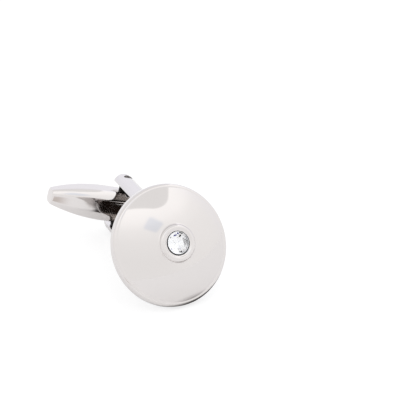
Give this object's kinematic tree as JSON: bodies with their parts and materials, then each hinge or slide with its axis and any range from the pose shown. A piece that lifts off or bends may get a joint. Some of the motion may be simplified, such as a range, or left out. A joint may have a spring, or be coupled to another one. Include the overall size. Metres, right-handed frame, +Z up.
{
  "type": "cufflink",
  "caption": "Swivel-back cufflink with a polished domed round face, a set crystal and a torpedo toggle pinned in a leaning fork.",
  "frame": {"origin": "middle of the cufflink's outline on the table it lies on", "axes": "+Z up from the table; +Y level, from the face towards the toggle; +X level, away from the toggle's nose"},
  "size_m": [0.0245, 0.0274, 0.0144],
  "materials": {
    "face_dome": "polished",
    "stone_setting": "polished",
    "crystal": "cut and polished",
    "crystal_foil": "mirror",
    "back_plate": "polished",
    "fork": "polished",
    "pivot_pin": "turned",
    "toggle_body": "polished",
    "click_spring": "spring temper",
    "spring_rivet": "peened"
  },
  "bodies": {
    "face_and_fork": {"face_dome": "face_dome", "stone_setting": "stone_setting", "crystal": "crystal", "crystal_foil": "crystal_foil", "back_plate": "back_plate", "fork": "fork", "pivot_pin": "pivot_pin"},
    "toggle": {"toggle_body": "toggle_body", "click_spring": "click_spring", "spring_rivet": "spring_rivet"}
  },
  "joints": [
    {"name": "toggle_swivel", "type": "hinge", "parent": "face_and_fork", "child": "toggle", "pos_m": [-0.00225, 0.00958, 0.00415], "axis": [-0.2633, -0.1917, -0.9455], "range_deg": [0, 90], "deforming": ["click_spring"]}
  ]
}
